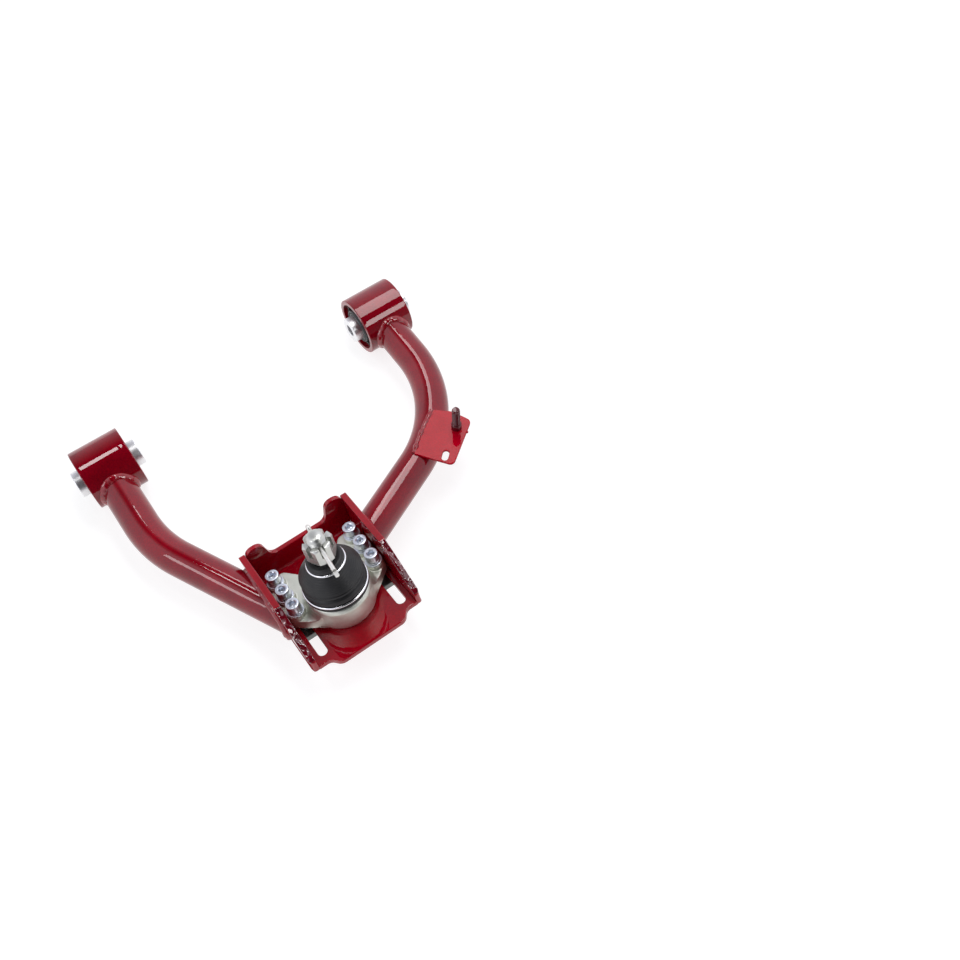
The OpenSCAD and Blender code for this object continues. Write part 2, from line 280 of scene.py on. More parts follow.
def make_rubber(name, colour, dust):
    m = Mat(name, Specular_IOR_Level=0.35)
    m.set("Base Color", m.mix(m.range(m.noise(14, 4, 0.6), 0.0, 0.55, 0.35, 0.8), colour, dust))
    m.set("Roughness", m.range(m.noise(2.5, 3), 0.32, 0.46))
    m.set("Normal", m.bump(m.noise(0.35, 3), 0.04, 0.35, m.bump(m.noise(6, 2), 0.10, 0.25)))
    return m.mat


# one real paint, in lighter and darker copies for each kind of surface: the differences in base colour are painted
# light and shade
paint = make_paint("candy_red_paint", (0.17, 0.0, 0.005), (0.25, 0.0, 0.008), metallic=0.2)
# the plates' copy has a lighter base: painted light, making up for the shade inside the box
paint_plate_lit = make_paint("candy_red_paint_lit_on_plate", (0.27, 0.0, 0.006), (0.35, 0.0, 0.010))
# the bracket's copy also has a lighter base: painted light
paint_bracket_lit = make_paint("candy_red_paint_lit_on_flat_bracket", (0.34, 0.0, 0.009), (0.42, 0.0, 0.012),
                        coat_weight=0.28)
paint_weld = make_paint("candy_red_paint_on_weld", (0.21, 0.0, 0.005), (0.31, 0.0, 0.009),
                        rough_cut=0.36, coat_ior=1.7)
# the cut edges' copy has a much darker base: painted shade, against which the coat glints stand out
paint_cut_shaded = make_paint("candy_red_paint_shaded_on_cut_edge", (0.08, 0.0, 0.005), (0.17, 0.0, 0.008),
                       rough_cut=0.9, coat_ior=2.0)
# the thread's copy has a much darker base: painted shade
paint_thread_shaded = make_paint("candy_red_paint_shaded_on_thread", (0.07, 0.002, 0.006), (0.12, 0.004, 0.01))
forged = make_zinc("zinc_plated_forging", (0.76, 0.76, 0.69), (0.60, 0.61, 0.54), (0.40, 0.54),
                   0.06, (0.66, 0.70, 0.62))
zinc = make_zinc("zinc_plated_nut", (0.62, 0.62, 0.59), (0.52, 0.52, 0.49), (0.26, 0.38),
                 0.008, (0.58, 0.60, 0.57), 0.35)
satin = make_zinc("satin_split_pin", (0.80, 0.79, 0.75), (0.72, 0.71, 0.67), (0.34, 0.44),
                  0.004, (0.76, 0.75, 0.72), 0.3)
bright = make_zinc("bright_zinc_screw", (0.78, 0.81, 0.87), (0.66, 0.70, 0.77), (0.26, 0.36),
                   0.006, (0.74, 0.78, 0.86), 0.25)
turned = make_turned("polished_turned_steel", (0.88, 0.88, 0.89), (0.34, 0.44))
wire = make_zinc("bright_wire", (0.92, 0.92, 0.94), (0.84, 0.84, 0.87), (0.12, 0.2),
                 0.008, (0.9, 0.9, 0.92), 0.2)
dark_steel = make_zinc("dark_phosphated_steel", (0.20, 0.21, 0.20), (0.13, 0.135, 0.13),
                       (0.38, 0.55), 0.03, (0.17, 0.18, 0.17))
rubber = make_rubber("moulded_rubber", (0.013, 0.013, 0.014), (0.032, 0.031, 0.030))
liner = make_rubber("liner_plastic", (0.70, 0.68, 0.60), (0.62, 0.60, 0.52))


# ------------------------------------------------------------------ mesh helpers
def fillet(a, b, c, r, n):
    """The arc of radius r, in n steps, that rounds corner b between a and c."""
    a, b, c = (np.array(p, float) for p in (a, b, c))
    u, w = unit(a - b), unit(c - b)
    half = math.acos(max(-1, min(1, float(u @ w)))) / 2
    centre = b + unit(u + w) * r / math.sin(half)
    s, e = b + u * r / math.tan(half) - centre, b + w * r / math.tan(half) - centre
    turn = math.acos(max(-1, min(1, float(s @ e) / (r * r))))
    sign = 1 if s[0] * e[1] - s[1] * e[0] > 0 else -1
    out = []
    for i in range(n + 1):
        ca, sa = math.cos(sign * turn * i / n), math.sin(sign * turn * i / n)
        out.append(centre + np.array([s[0] * ca - s[1] * sa, s[0] * sa + s[1] * ca]))
    return out


def rounded(points, radii, n=7, closed=True):
    """A 2D line with a fillet of its own radius at each corner."""
    out = []
    count = len(points)
    for i, (p, r) in enumerate(zip(points, radii)):
        if r > 0 and (closed or 0 < i < count - 1):
            out += fillet(points[i - 1], p, points[(i + 1) % count], r, n)
        else:
            out.append(np.array(p, float))
    return out


def to_bmesh(points, faces, merge):
    """A bmesh of these faces; a face that is there already or has no area is left out."""
    bm = bmesh.new()
    vs = [bm.verts.new(p) for p in points]
    for f in faces:
        try:
            bm.faces.new([vs[i] for i in f])
        except ValueError:
            pass
    bmesh.ops.remove_doubles(bm, verts=bm.verts, dist=merge)
    return bm


def to_mesh(name, bm):
    mesh = bpy.data.meshes.new(name)
    bm.to_mesh(mesh)
    bm.free()
    return mesh


def build(name, verts, faces, place, body, slot, material, replaces=(), angle=35, weighted=False):
    """Makes a piece from points in mm of a local frame."""
    pts = np.array(verts, float).reshape(-1, 3)
    bm = to_bmesh(pts @ place[:3, :3].T + place[:3, 3], faces, MERGE)
    bmesh.ops.recalc_face_normals(bm, faces=bm.faces)
    return adopt(name, to_mesh(name, bm), body, material, replaces, angle, weighted)


def adopt(name, mesh, body, material, replaces=(), angle=35, weighted=False):
    """Makes a piece from a mesh: edges sharper than angle stay sharp, and it rides on a CAD body."""
    obj = bpy.data.objects.new(name, mesh)
    bpy.context.scene.collection.objects.link(obj)
    for p in mesh.polygons:
        p.use_smooth = True
    mesh.set_sharp_from_angle(angle=math.radians(angle))
    mesh.materials.clear()
    for m in material if isinstance(material, (list, tuple)) else [material]:
        mesh.materials.append(m)
    if weighted:
        mod = obj.modifiers.new("weighted", "WEIGHTED_NORMAL")
        mod.keep_sharp = True
    if body:
        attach(obj, body)
    if replaces:
        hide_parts(*replaces)
    return obj


def grid(loops, wrap=False):
    """Quads between successive closed loops of equal length; wrap joins the last loop to the first."""
    loops = np.array(loops, float)
    k, n = loops.shape[:2]
    faces = []
    for i in range(k if wrap else k - 1):
        a, b = i * n, ((i + 1) % k) * n
        faces += [(a + j, a + (j + 1) % n, b + (j + 1) % n, b + j) for j in range(n)]
    return loops.reshape(-1, 3), faces


def ring(r, z, n, centre=(0, 0)):
    """A level circle of n points."""
    t = np.linspace(0, TAU, n, endpoint=False)
    return np.stack([centre[0] + r * np.cos(t), centre[1] + r * np.sin(t), np.full(n, z)], 1)


def lathe(profile, n):
    """A ring of n facets from a closed profile of (radius, height) points."""
    return grid([ring(r, z, n) for r, z in profile], True)


def end_caps(loops):
    """The two faces that close an open grid of these loops."""
    n = len(loops[0])
    return [tuple(range(n))[::-1], tuple((len(loops) - 1) * n + j for j in range(n))]


def join(*parts):
    verts, faces, base = [], [], 0
    for v, f in parts:
        verts.append(np.array(v, float).reshape(-1, 3))
        faces += [tuple(i + base for i in face) for face in f]
        base += len(verts[-1])
    return np.concatenate(verts), faces


def shifted(part, offset):
    return np.array(part[0]) + np.array(offset, float), part[1]


def smooth_line(points, per=6):
    """A dense line through the points, Catmull-Rom with clamped ends."""
    p = [np.array(q, float) for q in points]
    p = [2 * p[0] - p[1]] + p + [2 * p[-1] - p[-2]]
    out = []
    for i in range(1, len(p) - 2):
        for s in np.linspace(0, 1, per, endpoint=False):
            out.append(0.5 * (2 * p[i] + (p[i + 1] - p[i - 1]) * s
                              + (2 * p[i - 1] - 5 * p[i] + 4 * p[i + 1] - p[i + 2]) * s ** 2
                              + (3 * p[i] - p[i - 1] - 3 * p[i + 1] + p[i + 2]) * s ** 3))
    return out + [p[-2]]


def plate(outer, holes, z0, z1, edge=0.6, steps=3, levels=2):
    """A flat plate with rounded edges from 2D loops, in local XY, between z0 and z1."""

    def inward(loop, d, hole):
        """The loop moved by d into the material, with mitred corners."""
        q = np.array(loop)
        area = 0.5 * np.sum(q[:, 0] * np.roll(q[:, 1], -1) - q[:, 1] * np.roll(q[:, 0], -1))
        sign = (1 if area > 0 else -1) * (-1 if hole else 1)
        t1, t2 = q - np.roll(q, 1, 0), np.roll(q, -1, 0) - q
        t1 /= np.linalg.norm(t1, axis=1)[:, None]
        t2 /= np.linalg.norm(t2, axis=1)[:, None]
        n1, n2 = np.stack([-t1[:, 1], t1[:, 0]], 1), np.stack([-t2[:, 1], t2[:, 0]], 1)
        m = n1 + n2
        m /= np.maximum(1 + np.sum(n1 * n2, 1), 0.4)[:, None]
        return q + sign * d * m

    rings = [(edge * (1 - math.sin(a)), edge * (1 - math.cos(a)))
             for a in np.linspace(0, math.pi / 2, steps + 1)]
    profile = [(d, z0 + h) for d, h in rings]
    profile += [(0, z0 + edge + (z1 - z0 - 2 * edge) * i / levels) for i in range(1, levels)]
    profile += [(d, z1 - h) for d, h in reversed(rings)]
    parts, caps = [], ([], [])
    for loop, hole in [(outer, False)] + [(h, True) for h in holes]:
        loops = []
        for d, z in profile:
            q = inward(loop, d, hole)
            loops.append(np.column_stack([q, np.full(len(q), z)]))
        parts.append(grid(loops))
        caps[0].append(loops[0])
        caps[1].append(loops[-1])
    for cap in caps:
        tris = geometry.tessellate_polygon([[Vector(p) for p in loop] for loop in cap])
        parts.append((np.concatenate(cap), [tuple(t) for t in tris]))
    return join(*parts)


def clean(points, tol=1e-4):
    """A closed loop without repeated points."""
    out = []
    for p in points:
        if not out or np.linalg.norm(np.array(p) - out[-1]) > tol:
            out.append(np.array(p, float))
    if np.linalg.norm(out[0] - out[-1]) < tol:
        out.pop()
    return out


def dense(points, step, where=lambda a, b: True):
    """Splits the straight runs of a closed loop that where() picks into short steps."""
    out = []
    for i, a in enumerate(points):
        b = points[(i + 1) % len(points)]
        n = max(1, int(np.linalg.norm(b - a) / step)) if where(a, b) else 1
        out += [a + (b - a) * k / n for k in range(n)]
    return out


def both_sides(half):
    """A closed outline from its half at positive u."""
    return clean(list(half) + [np.array([-p[0], p[1]]) for p in reversed(half)])


def circle(r, n=48, c=(0, 0)):
    return [np.array([c[0] + r * math.cos(TAU * i / n), c[1] + r * math.sin(TAU * i / n)])
            for i in range(n)]


def sweep(path, section, ups, closed):
    """Sweeps section(i), closed and of points (across, up), along a path with its up directions."""
    path = np.array(path, float)
    k = len(path)
    loops = []
    for i in range(k):
        a = path[(i - 1) % k] if closed or i else path[0]
        b = path[(i + 1) % k] if closed or i < k - 1 else path[-1]
        t = unit(b - a)
        n = np.array(ups[i], float)
        n = unit(n - t * (n @ t))
        s = np.cross(t, n)
        loops.append([path[i] + s * x + n * y for x, y in section(i)])
    v, f = grid(loops, closed)
    return v, f if closed else f + end_caps(loops)


def bead(path, normals, r, seed, closed=True, pitch=4.5, flat=0.55):
    """A weld bead: ripples of that pitch along a path, with uneven width and height."""
    path, normals = np.array(path, float), np.array(normals, float)
    if closed:
        path, normals = np.vstack([path, path[:1]]), np.vstack([normals, normals[:1]])
    s = np.concatenate([[0], np.cumsum(np.linalg.norm(np.diff(path, axis=0), axis=1))])
    count = max(3, round(s[-1] / pitch))
    n = count * 7
    at = np.linspace(0, s[-1], n, endpoint=not closed)
    p = np.stack([np.interp(at, s, path[:, i]) for i in range(3)], 1)
    q = np.stack([np.interp(at, s, normals[:, i]) for i in range(3)], 1)

    def section(i):
        u = (i / n * count) % 1.0
        wob = noise.noise(Vector((i * 0.075, seed, 0)))
        size = r * (0.92 + 0.04 * math.sin(math.pi * u) ** 2 + 0.30 * wob)
        return [(size * math.cos(a), flat * size * math.sin(a))
                for a in np.linspace(0, TAU, 16, endpoint=False)]

    for i in range(n):
        lift = noise.noise(Vector((i * 0.05, seed + 9.0, 3.0)))
        p[i] = p[i] + unit(q[i]) * 0.7 * lift
    return sweep(p, section, q, closed)


def evaluated(obj):
    """A new mesh with the object's modifiers applied."""
    deps = bpy.context.evaluated_depsgraph_get()
    return bpy.data.meshes.new_from_object(obj.evaluated_get(deps))


def cad_copy(node, steps):
    """A copy of a CAD node's mesh, with its split edges merged and the modifiers applied."""
    mesh = frame["nodes"][node].data.copy()
    bm = bmesh.new()
    bm.from_mesh(mesh)
    bmesh.ops.remove_doubles(bm, verts=bm.verts, dist=3e-6)
    bmesh.ops.dissolve_limit(bm, angle_limit=math.radians(0.6), verts=bm.verts, edges=bm.edges)
    bm.to_mesh(mesh)
    bm.free()
    if "custom_normal" in mesh.attributes:
        mesh.attributes.remove(mesh.attributes["custom_normal"])
    obj = bpy.data.objects.new("work", mesh)
    bpy.context.scene.collection.objects.link(obj)
    for kind, settings in steps:
        mod = obj.modifiers.new(kind.lower(), kind)
        for key, value in settings.items():
            setattr(mod, key, value)
    out = evaluated(obj)
    bpy.data.objects.remove(obj)
    return out


# ------------------------------------------------------------------ sizes shared with the CAD
TUBE_R, TUBE_WALL, BEND_R = 16.85, 3.2, 120.0
HOUSE_R, HOUSE_IN, HOUSE_HALF = 30.0, 25.0, 25.0
SIDE_IN, SIDE_T = 51.0, 6.0  # inner faces of the side plates from the middle, and their thickness
SLOT_U = 41.0  # each slot and screw row from the middle
SCREW_V, SCREW_STEP = 9.5, 20.0  # front screw of a row, and the step to the next
screw_v = [SCREW_V + SCREW_STEP * i for i in range(3)]
box_x = box_origin[0] / MM


# ------------------------------------------------------------------ pivot housings and tubes
def tube_section(r_in, r_out, half_len):
    """The section of a straight tube with rounded ends, as a closed profile for lathe."""
    return rounded([(r_in, -half_len), (r_out, -half_len), (r_out, half_len), (r_in, half_len)],
                   [0.5, 0.9, 0.9, 0.5], 4)


# the outside is in fine rings, so that the glossy paint reads evenly
housing_profile = dense(clean(tube_section(HOUSE_IN, HOUSE_R, HOUSE_HALF)), 3.0)
for side, centre in PIVOTS:
    v, f = lathe(housing_profile, 160)
    build(f"{side}_housing_painted", v, f, along_x(centre), "arm", "paint_red", paint,
          [f"{side}_pivot_housing"], 30, True)


def tube(x0, start, bend, side, plane_x, r):
    """Rings of a bent tube, from the housing over a straight start and a bend to a side plate."""
    bend = math.radians(bend)
    rings = []
    angles = np.linspace(0, TAU, 96, endpoint=False)
    ca, sa = np.cos(angles), np.sin(angles)
    y_house = -np.sqrt(HOUSE_R ** 2 - (r * sa) ** 2)
    for t in np.linspace(0, 1, 14):
        y = y_house * (1 - t) - start * t
        rings.append(np.stack([x0 + r * ca, y, r * sa], 1))
    for a in np.linspace(0, bend, 40)[1:]:
        rad = BEND_R - side * r * ca
        rings.append(np.stack([x0 + side * BEND_R - side * rad * math.cos(a),
                               -start - rad * math.sin(a), r * sa], 1))
    bend_end = rings[-1]
    d = np.array([side * math.sin(bend), -math.cos(bend), 0])
    reach = (plane_x - bend_end[:, 0]) / d[0]
    for t in np.linspace(0, 1, 24)[1:]:
        rings.append(bend_end + reach[:, None] * t * d)
    return rings


tubes = {
    "front": dict(x0=front_c[0] / MM - 2, start=72, bend=26.7, side=1,
                  plane_x=box_x - SIDE_IN - SIDE_T),
    "rear": dict(x0=rear_c[0] / MM + 1, start=62, bend=65.5, side=-1,
                 plane_x=box_x + SIDE_IN + SIDE_T),
}
for side, spec in tubes.items():
    outer, inner = tube(r=TUBE_R, **spec), tube(r=TUBE_R - TUBE_WALL, **spec)
    v, f = grid(outer + inner[::-1], True)
    build(f"{side}_tube_painted", v, f, ROW, "arm", "paint_red", paint, [f"{side}_tube"], 40)


# ------------------------------------------------------------------ weld beads
def painted_bead(name, part, place, weld):
    build(name, *part, place, "arm", "paint_red", paint_weld, [weld], 60)


PROUD = 0.7  # a bead's middle line stands this far outside the surfaces that it joins
for k, (side, spec) in enumerate(tubes.items()):
    a = np.linspace(0, TAU, 144, endpoint=False)
    r = TUBE_R + PROUD
    path = np.stack([spec["x0"] + r * np.cos(a),
                     -np.sqrt((HOUSE_R + PROUD) ** 2 - (r * np.sin(a)) ** 2), r * np.sin(a)], 1)
    out = np.stack([np.cos(a), -0.8 + 0 * a, np.sin(a)], 1)
    painted_bead(f"{side}_housing_bead", bead(path, out, 4.0, 3.0 + k), ROW, f"{side}_housing_weld")
    end = tube(r=TUBE_R + 0.8, **spec)[-1] - np.array([spec["side"] * 0.6, 0, 0])
    out = end - end.mean(0) + np.array([-spec["side"] * 14.0, 0, 0])
    painted_bead(f"{side}_box_bead", bead(end, out, 3.2, 13.0 + k), ROW, f"{side}_box_weld")

seams = []
for s in (-1, 1):
    line = [(s * SIDE_IN, v, -5.0) for v in np.linspace(-34, 64, 60)]
    seams.append(bead(line, [(s * 0.6, 0, -1)] * 60, 1.6, 21 + s, False, 2.0, 0.9))
painted_bead("seam_beads", join(*seams), BOX, "box_seam_welds")

t = np.linspace(0, 1, 60)
line = np.stack([283 - 41 * t, -138.4 - 29.2 * t + 5 * t * (1 - t), np.full(60, TUBE_R + PROUD)], 1)
painted_bead("bracket_bead", bead(line, [(0, 0, 1)] * 60, 2.5, 31.0, False, 2.6, 0.85), ROW,
             "bracket_weld")

# ------------------------------------------------------------------ base plate with its bent-up wall
# It is made flat, in u and the length s over the plate and up the wall, and then bent up where s
# passes BEND_V. BEND_IN is the radius of the bend's inner face.
BEND_V, BEND_IN, BASE_T = 71.0, 4.5, 5.0
FRONT_V, CORNER_V = -50.5, -41.5  # the middle of the front edge, and its corners
EAR_W, WALL_W = 44, 24  # heights of the wall's ears and of its middle
SLOT_HALF, SLOT_FRONT, SLOT_BACK = 4.5, -34, 54.4
arc_len = math.pi / 2 * (BEND_IN + BASE_T / 2)


def wall_s(w):
    """The flat length at which the wall reaches height w."""
    return BEND_V + arc_len + w - BEND_IN


wall_u = SIDE_IN - 0.05  # the wall is a little narrower than the plate
half = rounded([(0, FRONT_V), (33, FRONT_V), (40, CORNER_V), (SIDE_IN, CORNER_V), (SIDE_IN, BEND_V),
                (wall_u, BEND_V), (wall_u, wall_s(EAR_W)), (34, wall_s(EAR_W)), (29, wall_s(WALL_W)),
                (0, wall_s(WALL_W))], [0, 9, 7, 0, 0, 0, 8, 8, 8, 0], 10, False)
outline = dense(both_sides(half), 4.0)
slots = []
for s in (-1, 1):
    slot = rounded([(-SLOT_HALF, SLOT_FRONT), (SLOT_HALF, SLOT_FRONT), (SLOT_HALF, SLOT_BACK),
                    (-SLOT_HALF, SLOT_BACK)], [SLOT_HALF - 0.01] * 4, 10)
    slots.append([np.array([p[0] + s * SLOT_U, p[1]]) for p in dense(clean(slot), 4.0)])
bm = to_bmesh(*plate(outline, slots, -BASE_T, 0, 0.7), 1e-4)
# cuts across the bend, so that it comes out round, and one on either side of it
for s in list(np.linspace(BEND_V, BEND_V + arc_len, 13)) + [BEND_V - 6, BEND_V + arc_len + 6]:
    bmesh.ops.bisect_plane(bm, geom=bm.verts[:] + bm.edges[:] + bm.faces[:], dist=1e-5,
                           plane_co=(0, s, 0), plane_no=(0, 1, 0))
bmesh.ops.recalc_face_normals(bm, faces=bm.faces)
for vert in bm.verts:
    u, s, z = vert.co
    if s > BEND_V:
        a = min(1, (s - BEND_V) / arc_len) * math.pi / 2
        rad = BEND_IN - z
        up = BEND_IN - rad * math.cos(a) + max(0, s - BEND_V - arc_len)
        vert.co = (u, BEND_V + rad * math.sin(a), up)
box_matrix = Matrix(BOX.tolist())
bmesh.ops.transform(bm, matrix=box_matrix, verts=bm.verts)
mesh = to_mesh("base_plate_painted", bm)
adopt("base_plate_painted", mesh, "arm", paint_plate_lit, ["base_plate"], 30, True)

# ------------------------------------------------------------------ side plates with flame-cut fronts
# outlines and points here are (v, w) of BOX, with the thickness as the third coordinate
slant_a, slant_b = np.array([5.0, 42.0]), np.array([-41.5, 9.0])
side_out = rounded([(-41.5, -5), (67, -5), (79.5, 8), (79.5, 42), slant_a, slant_b],
                   [1.5, 10, 10, 3, 4, 5], 8)
slant_t = unit(slant_b - slant_a)
slant_n = np.array([slant_t[1], -slant_t[0]])
slant_n = slant_n if slant_n[1] > 0 else -slant_n


def on_slant(a, b):
    """Whether the stretch from a to b lies on the slanted edge."""
    return abs((a - slant_a) @ slant_n) < 0.02 and abs((b - slant_a) @ slant_n) < 0.02


def slant_place(q):
    """How far a point is along the slanted edge, and how far outside it."""
    return (q - slant_a) @ slant_t, (q - slant_a) @ slant_n


loop = dense(clean(side_out), 0.6, on_slant)
loop = dense(loop, 4.0, lambda a, b: not on_slant(a, b))
CUT_FROM, CUT_TO = 1.0, 53.0  # the lumpy part of the slanted edge
NOSE_V, NOSE_R = -37.0, 4.5  # the outer front corner's rounding, seen from above
nose_in = SIDE_T - NOSE_R
to_box = box_matrix.inverted()
for side, u0, seed in (("front", -SIDE_IN - SIDE_T, 5.0), ("rear", SIDE_IN, 17.0)):
    v, f = plate(loop, [], 0, SIDE_T, 0.5, 3, 8)
    for p in v:
        q = p[:2]
        run, deep = slant_place(q)
        if deep > -0.6 and CUT_FROM < run < CUT_TO:
            fade = min(1, (run - CUT_FROM) / 3, (CUT_TO - run) / 4)
            kerf = noise.noise(Vector((run * 0.45 + 0.15 * p[2], seed, 0)))
            pits = noise.noise(Vector((run * 0.19, p[2] * 0.21, seed)))
            p[:2] = q + slant_n * fade * (0.30 * kerf + 1.3 * pits - 0.5)
        # away from the inner face
        away = p[2] - nose_in if side == "rear" else SIDE_T - nose_in - p[2]
        reach = math.hypot(away, p[0] - NOSE_V)
        if away > 0 and p[0] < NOSE_V and reach > NOSE_R:
            away, p[0] = away * NOSE_R / reach, NOSE_V + (p[0] - NOSE_V) * NOSE_R / reach
            p[2] = away + nose_in if side == "rear" else SIDE_T - nose_in - away
    v = np.stack([v[:, 2] + u0, v[:, 0], v[:, 1]], 1)
    plate_obj = build(f"{side}_side_plate_painted", v, f, BOX, "arm", "paint_red",
                      [paint_plate_lit, paint_cut_shaded], [f"{side}_side_plate"], 32, True)
    for poly in plate_obj.data.polygons:
        c = to_box @ poly.center
        run, deep = slant_place(np.array([c[1], c[2]]))
        if -1.6 < deep and 0 < run < 56 and abs(poly.normal.x) < 0.9:
            poly.material_index = 1

# ------------------------------------------------------------------ line bracket and its stud
BR_Z, BR_T = TUBE_R - 1.2, 3.0
# the slotted hole: radius, half the distance of its two centres, direction and middle
HOLE_R, HOLE_SHIFT, HOLE_TURN, HOLE_XY = 3.2, 2.4, math.radians(41), (264.6, -187.6)
br = rounded([(283.5, -138.7), (298, -151.5), (307, -170.5), (265, -200.5), (241, -168)],
             [2, 14, 5, 5, 2], 8)
hole = []
ct, st = math.cos(HOLE_TURN), math.sin(HOLE_TURN)
for s in (1, -1):
    for i in range(25):
        a = -math.pi / 2 + math.pi * i / 24 + (math.pi if s < 0 else 0)
        p = (s * HOLE_SHIFT + HOLE_R * math.cos(a), HOLE_R * math.sin(a))
        hole.append(np.array([HOLE_XY[0] + p[0] * ct - p[1] * st, HOLE_XY[1] + p[0] * st + p[1] * ct]))
bracket = plate(dense(clean(br), 4.0), [clean(hole)], BR_Z, BR_Z + BR_T, 0.45)
# a small round nib at its outer edge
burr = grid([ring(r, BR_Z + z, 24, (296.5, -178)) for r, z in
             ((POLE, 0.3), (0.9, 0.3), (1.3, 0.8), (1.3, 2.2), (0.9, 2.7), (POLE, 2.75))])
build("line_bracket_painted", *join(bracket, burr), ROW, "arm", "paint_red", paint_bracket_lit,
      ["line_bracket"], 32, True)


def threaded(profile, r_major, z0, z1, pitch, depth):
    """A turned piece whose stretch from z0 to z1 at r_major carries a helical thread."""
    n, step = 72, 0.14
    t = np.linspace(0, TAU, n, endpoint=False)
    loops = []
    for (ra, za), (rb, zb) in zip(profile, profile[1:]):
        inside = za >= z0 - 1e-6 and zb <= z1 + 1e-6
        count = max(1, int(abs(zb - za) / step)) if inside else 1
        for i in range(count):
            z, r = za + (zb - za) * i / count, ra + (rb - ra) * i / count
            loops.append((r, z))
    loops.append(profile[-1])
    out = []
    for r, z in loops:
        cut = np.zeros(n)
        if z0 <= z <= z1 and r > r_major - depth * 1.5:
            ph = (z / pitch - t / TAU) % 1.0
            fade = min(1, (z - z0) / pitch, (z1 - z) / (0.6 * pitch) + 0.3)
            cut = depth * fade * np.clip(1.15 - np.abs(ph - 0.5) * 2 * 1.3, 0, 1)
        out.append(np.stack([(r - cut) * np.cos(t), (r - cut) * np.sin(t), np.full(n, z)], 1))
    return grid(out)


lo, hi = (np.array(c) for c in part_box("bracket_stud"))
stud_frame = axes(((lo[0] + hi[0]) / 2, (lo[1] + hi[1]) / 2, 0), (1, 0, 0), (0, 1, 0), (0, 0, 1))
foot = lo[2] / MM
LINE_STUD_R, THREAD_FROM, THREAD_TO = 3.95, 8.2, 30
v, f = threaded([(r, foot + z) for r, z in
                 ((POLE, 0), (5.0, 0), (5.0, 6.4), (4.6, 7.0), (3.7, 7.1), (LINE_STUD_R, THREAD_FROM),
                  (LINE_STUD_R, THREAD_TO), (2.8, 32.2), (POLE, 32.4))],
                LINE_STUD_R, foot + THREAD_FROM, foot + THREAD_TO, 1.25, 0.62)
build("bracket_stud_painted", v, f, stud_frame, "arm", "paint_red", paint_thread_shaded, ["bracket_stud"], 60)

# ------------------------------------------------------------------ bushes
shell_profile = rounded([(23, -20), (HOUSE_IN, -20), (HOUSE_IN, 20), (23, 20)], [0.4] * 4, 3)
rubber_half = smooth_line([(13.06, 23.2), (13.5, 23.9), (14.7, 24.0), (15.3, 23.1), (16.0, 23.1),
                           (16.6, 24.0), (17.4, 24.0), (18.1, 23.3), (18.4, 21.0), (18.6, 17.4),
                           (19.2, 15.9), (20.8, 15.4), (22.2, 15.8), (22.96, 16.6)], 5)
rubber_profile = rubber_half + [np.array([r, -z]) for r, z in reversed(rubber_half)]
sleeve_profile = dense(clean(tube_section(6.1, 13, 33)), 4.0)
for side, centre in PIVOTS:
    ax = along_x(centre)
    v, f = lathe(shell_profile, 120)
    build(f"{side}_bush_outer", v, f, ax, "arm", "dark_steel", dark_steel, [f"{side}_bush_shell"], 30)
    v, f = lathe(rubber_profile, 120)
    build(f"{side}_bush_rubber_moulded", v, f, ax, "arm", "rubber_black", rubber,
          [f"{side}_bush_rubber"], 50)
    v, f = lathe(sleeve_profile, 120)
    build(f"{side}_sleeve_turned", v, f, ax, f"{side}_bush_sleeve", "polished_steel", turned,
          [f"{side}_sleeve"], 30, True)

# ------------------------------------------------------------------ cartridge
soften = [("REMESH", dict(mode="VOXEL", voxel_size=0.0006, use_smooth_shade=True)),
          ("SMOOTH", dict(factor=0.5, iterations=2))]
mesh = cad_copy("joint_housing", soften)
adopt("joint_housing_forged", mesh, "cartridge", forged, ["joint_housing"], 80)

# from the ear up: flat washer, spring washer, screw head
BOSS_H, FLAT_T, SPRING_TOP, HEAD_Z = 18.5, 1.8, 4.0, 22.5
FACETS = 48
screw_at = [(s * SLOT_U, v, 0) for s in (-1, 1) for v in screw_v]


def hexagon(r, z, turn):
    """A level hexagon of inner radius r, with as many points as a ring of the screw."""
    t = np.linspace(0, TAU, FACETS, endpoint=False)
    rad = r / np.cos((t - turn + math.pi / 6) % (math.pi / 3) - math.pi / 6)
    return np.stack([rad * np.cos(t), rad * np.sin(t), np.full(FACETS, z)], 1)


def screw(i):
    """A socket-head cap screw; each one stands at another turn."""
    shank = [(POLE, -11.0), (3.2, -11.0), (3.88, -10.3), (3.88, HEAD_Z)]
    head = [(6.2, 0), (6.5, 0.3), (6.5, 3.6), (6.5, 7.0), (6.42, 7.4), (6.1, 7.8), (5.7, 7.95),
            (4.6, 8.0), (3.9, 8.0), (3.55, 7.75)]
    socket = [(3.0, 7.4), (3.0, 5.5), (3.0, 3.8), (2.75, 3.5)]
    return grid([ring(r, z, FACETS) for r, z in shank]
                + [ring(r, HEAD_Z + z, FACETS) for r, z in head]
                + [hexagon(r, HEAD_Z + z, 0.35 * i) for r, z in socket]
                + [ring(0.8, HEAD_Z + 2.4, FACETS), ring(POLE, HEAD_Z + 2.2, FACETS)])


def flat_washer(i):
    top = BOSS_H + FLAT_T - 0.05
    return lathe(rounded([(4.3, BOSS_H), (8, BOSS_H), (8, top), (4.3, top)],
                         [0.2, 0.45, 0.45, 0.2], 3), 64)


